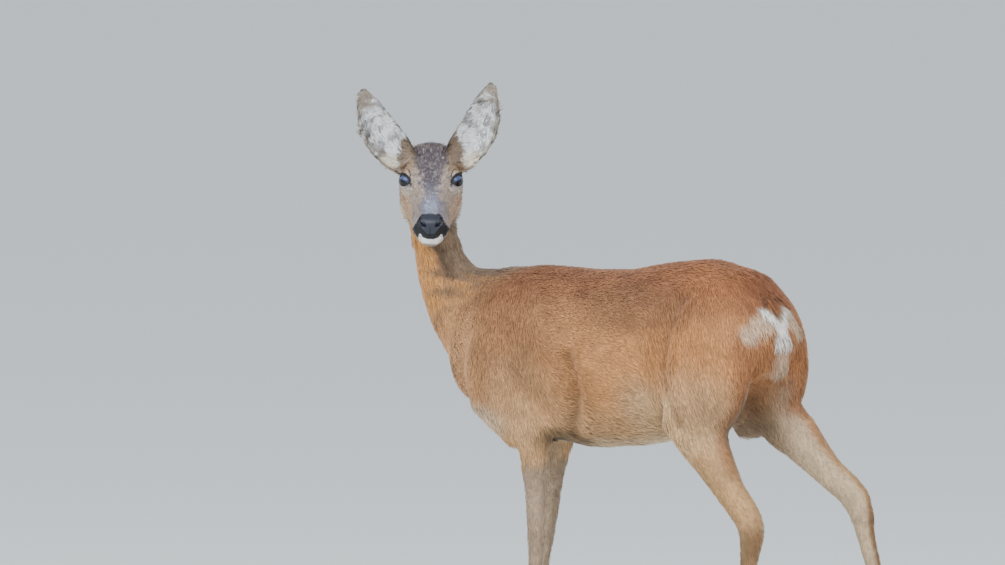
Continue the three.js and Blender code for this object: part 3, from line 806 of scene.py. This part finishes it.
# ---------------------------------------------------------------- eyes and lid edges
def makeEye(name, k):
    centre, gaze, ahead, above = eyeFrame(k)
    bm = bmesh.new()
    bmesh.ops.create_uvsphere(bm, u_segments=72, v_segments=48, radius=1.0)
    tone = {k: linear(v) for k, v in dict(pupil="020203", iris="1c120d", rim="0a0807", white="8d8078", paintedSkyReflection="46527c").items()}
    shades = []
    for vert in bm.verts:
        x, y, z = vert.co
        off = math.hypot(x, y)
        slot = math.hypot(x / 0.50, y / 0.30)
        colour = tone["pupil"] + (tone["iris"] - tone["pupil"]) * float(smoothStep(slot, 0.9, 1.15))
        # painted reflection: the upper half of the eye is tinted bluish, standing in for the sky mirrored in the wet
        # eye
        colour = colour + (tone["paintedSkyReflection"] - colour) * float(smoothStep(y, -0.02, 0.22)) * 0.85
        colour = colour + (tone["rim"] - colour) * float(smoothStep(off, 0.70, 0.80))
        colour = colour + (tone["white"] - colour) * float(smoothStep(off, 0.86, 0.93)) if z > 0 else tone["white"]
        shades.append(colour)
        bulge = 1 + 0.035 * float(smoothStep(z, 0.6, 1.0))
        place = (x * ahead + y * above + z * gaze) * bulge * (eyeShape["radius"] - 0.0001) + centre
        vert.co = Vector(fromHead(place))
    bmesh.ops.recalc_face_normals(bm, faces=bm.faces)
    mesh = bpy.data.meshes.new(name)
    bm.to_mesh(mesh)
    bm.free()
    layer = mesh.color_attributes.new("eyeColour", "FLOAT_COLOR", "POINT")
    layer.data.foreach_set("color", np.column_stack([np.array(shades), np.ones(len(shades))]).astype(np.float32).ravel())
    mesh.polygons.foreach_set("use_smooth", np.ones(len(mesh.polygons), bool))
    return meshObject(name, mesh)


def lidEdge(k):
    centre, gaze, ahead, above = eyeFrame(k)
    curve = bpy.data.curves.new("edge", "CURVE")
    curve.dimensions = "3D"
    curve.bevel_depth = 0.0007
    curve.bevel_resolution = 3
    spline = curve.splines.new("POLY")
    turns = np.linspace(0, 2 * math.pi, 72, endpoint=False)
    spline.points.add(len(turns) - 1)
    spline.use_cyclic_u = True
    for point, a in zip(spline.points, turns):
        x, y = math.cos(a), math.sin(a)
        q = float(lidRatio(np.array(x * 0.01), np.array(y * 0.01)))
        x, y = x * 0.01 / q, y * 0.01 / q
        reach = eyeShape["radius"] + 0.0006
        place = centre + x * ahead + y * above + math.sqrt(reach ** 2 - x * x - y * y) * gaze
        point.co = (*fromHead(place), 1)
        point.radius = 0.55 + 1.5 * max(0.0, math.sin(a))
    holder = bpy.data.objects.new("edge", curve)
    scene.collection.objects.link(holder)
    mesh = bpy.data.meshes.new_from_object(holder.evaluated_get(bpy.context.evaluated_depsgraph_get()))
    bpy.data.objects.remove(holder)
    return mesh


eyePaint, tree, shader = newMaterial("wetEye", 0.04, Coat_Weight=1.0, Coat_Roughness=0.02, IOR=1.4, Coat_IOR=1.38)
shader.inputs["Specular IOR Level"].default_value = 0.1
tint = tree.nodes.new("ShaderNodeAttribute")
tint.attribute_name = "eyeColour"
tree.links.new(tint.outputs["Color"], shader.inputs["Base Color"])
for name, k in (("eye_left", -1), ("eye_right", 1)):
    eyeball = makeEye("eyeball_" + name[4:], k)
    eyeball.data.materials.append(eyePaint)
    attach(eyeball, "root")
    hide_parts(name)


def softLeather(name, colour, roughness, scale, height):
    material, tree, shader = newMaterial(name, roughness)
    place = tree.nodes.new("ShaderNodeTexCoord")
    pebble = tree.nodes.new("ShaderNodeTexVoronoi")
    pebble.inputs["Scale"].default_value = scale
    tree.links.new(place.outputs["Object"], pebble.inputs["Vector"])
    raised = tree.nodes.new("ShaderNodeBump")
    raised.inputs["Strength"].default_value = 0.6
    raised.inputs["Distance"].default_value = height
    raised.invert = True
    tree.links.new(pebble.outputs["Distance"], raised.inputs["Height"])
    tree.links.new(raised.outputs["Normal"], shader.inputs["Normal"])
    cloud = tree.nodes.new("ShaderNodeTexNoise")
    cloud.inputs["Scale"].default_value = 160
    tree.links.new(place.outputs["Object"], cloud.inputs["Vector"])
    ramp = tree.nodes.new("ShaderNodeMix")
    ramp.data_type = "RGBA"
    ramp.inputs["A"].default_value = (*linear(colour) * 0.7, 1)
    ramp.inputs["B"].default_value = (*linear(colour) * 1.4, 1)
    tree.links.new(cloud.outputs["Fac"], ramp.inputs["Factor"])
    tree.links.new(ramp.outputs["Result"], shader.inputs["Base Color"])
    return material


bm = bmesh.new()
for k in (-1, 1):
    bm.from_mesh(lidEdge(k))
bmesh.ops.recalc_face_normals(bm, faces=bm.faces)
lidMesh = bpy.data.meshes.new("lidEdges")
bm.to_mesh(lidMesh)
bm.free()
lidMesh.polygons.foreach_set("use_smooth", np.ones(len(lidMesh.polygons), bool))
lidMesh.materials.append(softLeather("lidSkin", "1b1614", 0.35, 1500, 0.0002))
lids = meshObject("lidEdges", lidMesh)
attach(lids, "root")

# ---------------------------------------------------------------- nose
noseShape = dict(proud=0.0004, wall=0.0012)


def onNose(local):
    mm = local * 1000
    s, a = mm[:, 0], np.abs(mm[:, 1])
    rise = 0.4696 * s + 0.8825 * mm[:, 2]
    top = rise < 22.3 - (a / 14.5) ** 2 * 4.5
    sides = np.where(rise > 8, a < 12.6 + (22 - rise) * 0.46, a < 19.0 - (8 - rise) * 0.85)
    return top & sides & (rise > -7.5) & (s < 30)


bm = bmesh.new()
bm.from_mesh(skinMesh)
inNose = onNose(toHead(points))
bmesh.ops.delete(bm, geom=[v for v, keep in zip(bm.verts, inNose) if not keep], context="VERTS")
bmesh.ops.subdivide_edges(bm, edges=bm.edges, cuts=1, use_grid_fill=True, smooth=0.4)
bmesh.ops.smooth_vert(bm, verts=[v for v in bm.verts if v.is_boundary], factor=0.5,
                      use_axis_x=True, use_axis_y=True, use_axis_z=True)
bm.normal_update()
for vert in bm.verts:
    vert.co += vert.normal * noseShape["proud"]
bmesh.ops.solidify(bm, geom=bm.faces, thickness=noseShape["wall"])
bmesh.ops.recalc_face_normals(bm, faces=bm.faces)
noseMesh = bpy.data.meshes.new("noseLeather")
bm.to_mesh(noseMesh)
bm.free()
noseMesh.polygons.foreach_set("use_smooth", np.ones(len(noseMesh.polygons), bool))
noseMesh.materials.append(softLeather("noseLeather", "1d202b", 0.30, 1100, 0.0004))
nose = meshObject("noseLeather", noseMesh)
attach(nose, "root")
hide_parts("nose_pad")

# ---------------------------------------------------------------- claws
clawMesh = joined(clawNames, 0.0011, -0.0003)
setVertices(clawMesh, relax(vertexArray(clawMesh), edgeArray(clawMesh), 5))
clawMesh.polygons.foreach_set("use_smooth", np.ones(len(clawMesh.polygons), bool))
hornPaint, tree, shader = newMaterial("clawHorn", 0.38)
place = tree.nodes.new("ShaderNodeTexCoord")
bands = tree.nodes.new("ShaderNodeTexWave")
bands.bands_direction = "Z"
bands.inputs["Scale"].default_value = 70
bands.inputs["Distortion"].default_value = 3
tree.links.new(place.outputs["Object"], bands.inputs["Vector"])
shadeOf = tree.nodes.new("ShaderNodeMix")
shadeOf.data_type = "RGBA"
shadeOf.inputs["A"].default_value = (*linear("1d1a19"), 1)
shadeOf.inputs["B"].default_value = (*linear("453d37"), 1)
tree.links.new(bands.outputs["Fac"], shadeOf.inputs["Factor"])
tree.links.new(shadeOf.outputs["Result"], shader.inputs["Base Color"])
ridge = tree.nodes.new("ShaderNodeBump")
ridge.inputs["Strength"].default_value = 0.3
ridge.inputs["Distance"].default_value = 0.0004
tree.links.new(bands.outputs["Fac"], ridge.inputs["Height"])
tree.links.new(ridge.outputs["Normal"], shader.inputs["Normal"])
clawMesh.materials.append(hornPaint)
claws = meshObject("claws", clawMesh)
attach(claws, "root")
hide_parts(*clawNames)
print("eyes, nose and claws made", len(clawMesh.polygons))

# ---------------------------------------------------------------- coat
triangleMesh = bpy.data.meshes.new("triangles")
bm = bmesh.new()
bm.from_mesh(skinMesh)
bmesh.ops.triangulate(bm, faces=bm.faces)
bm.to_mesh(triangleMesh)
bm.free()
triangles = np.empty(len(triangleMesh.polygons) * 3, np.int32)
triangleMesh.loops.foreach_get("vertex_index", triangles)
triangles = triangles.reshape(-1, 3)
bpy.data.meshes.remove(triangleMesh)
corner = points[triangles]
area = np.linalg.norm(np.cross(corner[:, 1] - corner[:, 0], corner[:, 2] - corner[:, 0]), axis=1) / 2
middle = corner.mean(1)
middleNormal = unit(normals[triangles].mean(1))
faceLabel = label[triangles[:, 0]]
furPaint = coatPaint("longCoat", 0)


def ends(*words):
    return np.isin(faceLabel, [k for k, n in enumerate(partNames) if n.split("_")[-1] in words or n in words])


faceLocal = toHead(middle)
faceField = earField(faceLocal, middleNormal @ headBasis.T)
faceEar = faceField["share"]
onHeadFace = ends("head", "lower_jaw", "ear_left", "ear_right")
faceNeck = onHeadFace & (middle[:, 2] < 0.708) & (faceLocal[:, 0] > 0.09)
faceInside = (faceField["inside"] > 0.5) & (faceEar > 0.35)
nearEye = np.zeros(len(middle), bool)
for k in (-1, 1):
    nearEye |= np.linalg.norm(faceLocal - np.array((eyeShape["s"], k * eyeShape["y"], eyeShape["z"])), axis=1) < 0.0145
faceLift = 0.4696 * faceLocal[:, 0] + 0.8825 * faceLocal[:, 2]
bare = onHeadFace & (faceLocal[:, 0] < 0.03) & (faceLift > -0.013) & (faceLift < 0.023)
bare &= np.abs(faceLocal[:, 1]) < 0.019
skull = onHeadFace & ~faceNeck & (faceEar < 0.3) & ~nearEye & ~bare


def lengthTrunk(at, local):
    y = np.abs(at[:, 1] - middleY)
    fold = np.stack([at[:, 0], y, at[:, 2]], 1)
    return 0.016 + 0.010 * spot(fold, (0.285, 0.0, 0.56), (0.05, 0.05, 0.06)) + 0.006 * smoothStep(0.43 - at[:, 2], 0, 0.03)


def lengthHead(at, local):
    return 0.0028 + 0.0045 * smoothStep(local[:, 0], 0.03, 0.16) + 0.004 * smoothStep(0.0 - local[:, 2], 0.01, 0.05) \
        * smoothStep(local[:, 0], 0.06, 0.12)


def lengthLock(at, local):
    field = earField(local, np.zeros_like(local))
    edge = smoothStep(np.abs(field["across"]), 0.6, 0.9)
    return (0.009 + 0.012 * grain(at, 0.012, 9) * (1 - smoothStep(field["rise"], 0.6, 0.95))) * (1 - 0.6 * edge)


coats = dict(
    coat_trunk_fore=dict(where=ends("trunk") & (middle[:, 0] < -0.05), count=19500, length=lengthTrunk, width=0.0013, lift=9),
    coat_trunk_rear=dict(where=ends("trunk", "tail", "rump_tuft") & (middle[:, 0] >= -0.05), count=19900, length=lengthTrunk, width=0.0013, lift=9),
    coat_tush_locks=dict(where=ends("rump_tuft", "tail") & (middleNormal[:, 0] > 0.25), count=700, length=0.026, width=0.0016, lift=7, rings=3),
    coat_shoulders=dict(where=ends("shoulder"), count=17000, length=0.015, width=0.0012, lift=9),
    coat_thighs=dict(where=ends("thigh"), count=18000, length=0.016, width=0.0012, lift=9),
    coat_legs=dict(where=ends("forearm", "cannon", "pastern", "gaskin"), count=18000, length=0.0085, width=0.0011, lift=9),
    coat_neck=dict(where=ends("neck") | faceNeck, count=13500, length=0.015, width=0.0012, lift=9),
    coat_face=dict(where=skull, count=19800, length=lengthHead, width=0.0008, lift=12),
    coat_ears=dict(where=onHeadFace & (faceEar >= 0.3) & ~faceInside, count=6500, length=0.005, width=0.0009, lift=9),
    coat_ear_locks=dict(where=faceInside, count=6600, length=lengthLock, width=0.0011, lift=24, rings=4, curl=0.32),
)


def spread(at, chart):
    # every chart is its own flat cut of the skin, laid in rows on one square
    uv = np.zeros((len(at), 2))
    names = np.unique(chart)
    boxes = []
    for name in names:
        mine = np.flatnonzero(chart == name)
        axis = name % 3
        flat = np.delete(at[mine], axis, 1)
        low = flat.min(0)
        boxes.append((mine, flat - low, flat.max(0) - low + 0.004))
    side = math.sqrt(sum(b[2].prod() for b in boxes)) * 1.02
    while True:
        row, x, high, fits = 0.0, 0.0, 0.0, True
        spots = []
        for mine, flat, size in sorted(boxes, key=lambda b: -b[2][1]):
            if x + size[0] > side:
                row, x, high = row + high, 0.0, 0.0
            spots.append((x, row))
            x, high = x + size[0], max(high, size[1])
            fits = fits and size[0] <= side
        if fits and row + high <= side:
            break
        side *= 1.03
    for (mine, flat, size), (x, row) in zip(sorted(boxes, key=lambda b: -b[2][1]), spots):
        uv[mine] = (flat + np.array((x, row)) + 0.002) / side
    return uv * 0.99 + 0.003


def tuftMesh(name, root, direction, normal, length, width, lift, curl, colour, uv, rings=2, paintedShade=0.82):
    # each tuft is a closed three-sided blade that bends back to the skin and ends in a point
    n, count = len(root), rings * 3 + 1
    side = np.cross(normal, direction)
    half = width[:, None] / 2
    v, soft = np.empty((n, count, 3)), np.empty((n, count, 3))
    shade, patch = np.empty(count), np.empty((count, 2))
    body = np.interp(np.arange(rings) / rings, (0, 0.35, 1), (0.8, 1.0, 0.35))
    for ring in range(rings + 1):
        t = ring / rings
        run = t * np.cos(lift) * length
        rise = (1.72 * t - 0.92 * t * t) * np.sin(lift) * length - 0.0006 * (ring == 0)
        bend = curl * length * (t * t if rings < 3 else np.sin(2.6 * t) * 0.8)
        at = root + direction * run[:, None] + normal * rise[:, None] + side * bend[:, None]
        # painted shade: each tuft is darker at its root and lighter at its tip, standing in for the shade deep in the
        # coat
        k, tone = ring * 3, paintedShade + (1.06 - paintedShade) * t ** 0.7
        if ring == rings:
            v[:, k], soft[:, k], shade[k], patch[k] = at, normal, tone, (0.5, 1)
            continue
        w = half * body[ring]
        v[:, k], v[:, k + 1], v[:, k + 2] = at - side * w, at + side * w, at + normal * w * 0.85
        soft[:, k], soft[:, k + 1], soft[:, k + 2] = normal - side * 0.5, normal + side * 0.5, normal
        shade[k:k + 3] = tone
        patch[k:k + 3] = ((0, t), (1, t), (0.5, t + 0.1))
    faces = [(0, 2, 1)]
    for ring in range(rings - 1):
        k = ring * 3
        faces += [(k, k + 3, k + 5, k + 2), (k + 2, k + 5, k + 4, k + 1), (k + 1, k + 4, k + 3, k)]
    k = (rings - 1) * 3
    faces += [(k, k + 3, k + 2), (k + 2, k + 3, k + 1), (k + 1, k + 3, k)]
    pattern = np.concatenate([np.array(f) for f in faces])
    starts = np.cumsum([0] + [len(f) for f in faces[:-1]])
    loops = (np.arange(n)[:, None] * count + pattern).ravel()
    mesh = bpy.data.meshes.new(name)
    mesh.vertices.add(n * count)
    mesh.vertices.foreach_set("co", v.astype(np.float32).ravel())
    mesh.loops.add(n * len(pattern))
    mesh.loops.foreach_set("vertex_index", loops.astype(np.int32))
    mesh.polygons.add(n * len(faces))
    mesh.polygons.foreach_set("loop_start", (np.arange(n)[:, None] * len(pattern) + starts).ravel().astype(np.int32))
    mesh.update(calc_edges=True)
    mesh.polygons.foreach_set("use_smooth", np.ones(n * len(faces), bool))
    paintVertices(mesh, np.clip((colour[:, None, :] * shade[None, :, None]).reshape(-1, 3), 0, 1))
    layer = mesh.uv_layers.new(name="OFBake")
    place = (uv[:, None, :] + patch[None] * 0.003).reshape(-1, 2)[loops]
    layer.uv.foreach_set("vector", place.astype(np.float32).ravel())
    mesh.normals_split_custom_set_from_vertices(unit(soft).reshape(-1, 3).astype(np.float32))
    return mesh


def growCoat(name, where, count, length, width, lift, seed, rings=2, curl=0.1):
    rng = np.random.default_rng(seed)
    faces = np.flatnonzero(where)
    chance = area[faces] / area[faces].sum()
    pick = faces[rng.choice(len(faces), count, p=chance)]
    r1, r2 = np.sqrt(rng.random(count)), rng.random(count)
    weight = np.stack([1 - r1, r1 * (1 - r2), r1 * r2], 1)[:, :, None]
    root = (corner[pick] * weight).sum(1)
    normal = unit((normals[triangles[pick]] * weight).sum(1))
    direction = (blend[triangles[pick]] * weight).sum(1)
    local = toHead(root)
    long = (length(root, local) if callable(length) else np.full(count, length)) * rng.uniform(0.75, 1.2, count)
    swirl = (grain(root, 0.03, 7) - 0.5) * 0.35 + rng.normal(0, 0.10, count)
    locks = name == "coat_ear_locks"
    if locks:  # from the inner edge across and up the ear, in curls
        field = earField(local, normal @ headBasis.T)
        lean = 0.85 * (1 - smoothStep(field["across"], -0.2, 0.5))[:, None]
        direction = (field["axis"] * 0.7 + field["outward"] * lean) @ headBasis
        edge = smoothStep(np.abs(field["across"]), 0.5, 0.85)
        swirl = ((grain(root, 0.012, 8) - 0.5) * 3.6 + rng.normal(0, 0.2, count)) * (1 - 0.85 * edge)
        long = long * (1 - 0.5 * smoothStep(field["rise"], 0.75, 0.95))
    direction = alongSkin(direction, normal)
    side = np.cross(normal, direction)
    direction = unit(direction * np.cos(swirl)[:, None] + side * np.sin(swirl)[:, None])
    colour = coatColour(root + normal * 0.002 + direction * long[:, None] * 0.45, normal, faceLabel[pick], 1.0)
    tone = rng.uniform(0.74, 1.24, count)[:, None]
    if name == "coat_face":  # pepper and salt
        brow = smoothStep(local[:, 0], 0.02, 0.06) * (local[:, 2] > -0.02)
        luck = rng.random(count) * 0.45 + grain(local, (0.0075, 0.0021, 0.0021), 12) * 0.55
        tone = np.where(luck < 0.33 * brow, 0.48, np.where(luck > 1 - 0.30 * brow, 1.65, 1.0))[:, None] * tone
    if locks:
        # painted shade: locks are darkened in patches, standing in for the dark gaps between the curls
        gap = smoothStep(0.45 - grain(root, 0.0050, 13), 0, 0.10) * smoothStep(field["rise"], 0.1, 0.25) \
            * (1 - smoothStep(field["rise"], 0.7, 0.85))
        tone = (1.12 - 0.76 * gap)[:, None] * tone
    colour = np.clip(colour * tone, 0, 0.95)
    axis = np.abs(normal).argmax(1)
    chart = faceLabel[pick] * 6 + axis + 3 * (np.take_along_axis(normal, axis[:, None], 1)[:, 0] > 0)
    uv = spread(root, chart)
    rising = np.radians(lift * rng.uniform(0.6, 1.4, count)) * ((1 - 0.7 * edge) if locks else 1)
    # the last argument is the painted shade at the tuft roots
    mesh = tuftMesh(name, root, direction, normal, long, width * rng.uniform(0.7, 1.25, count), rising, rng.normal(0, curl, count), colour, uv, rings,
                    0.62 if locks else 0.70)
    mesh.materials.append(furPaint)
    piece = meshObject(name, mesh)
    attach(piece, "root")
    return piece


for seed, (name, how) in enumerate(coats.items()):
    growCoat(name, seed=seed + 11, **how)
    print(name, "grown", round(float(area[how["where"]].sum()), 4), "m2")

def growLashes():
    roots, ways, ups = [], [], []
    for k in (-1, 1):
        centre, gaze, ahead, above = eyeFrame(k)
        for a in np.linspace(0.25, 2.75, 70):
            x, y = math.cos(a), math.sin(a)
            q = float(lidRatio(np.array(x * 0.01), np.array(y * 0.01)))
            x, y = x * 0.01 / q, y * 0.01 / q
            reach = eyeShape["radius"] + 0.0011
            place = centre + x * ahead + y * above + math.sqrt(reach ** 2 - x * x - y * y) * gaze
            way = unit(gaze * 0.75 + above * 0.45 + ahead * x * 40)
            roots.append(fromHead(place))
            ways.append(way @ headBasis)
            ups.append(unit(above - (above @ way) * way) @ headBasis)
    n = len(roots)
    rng = np.random.default_rng(5)
    roots, ways, ups = np.array(roots), np.array(ways), np.array(ups)
    uv = np.column_stack([np.linspace(0.05, 0.9, n), np.full(n, 0.5)])
    mesh = tuftMesh("lashes", roots, ways, ups, rng.uniform(0.0045, 0.0085, n), np.full(n, 0.0006),
                    np.radians(rng.uniform(8, 30, n)), rng.normal(0, 0.1, n),
                    np.broadcast_to(linear("15110f"), (n, 3)), uv, 3)
    mesh.materials.append(furPaint)
    piece = meshObject("lashes", mesh)
    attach(piece, "root")


growLashes()
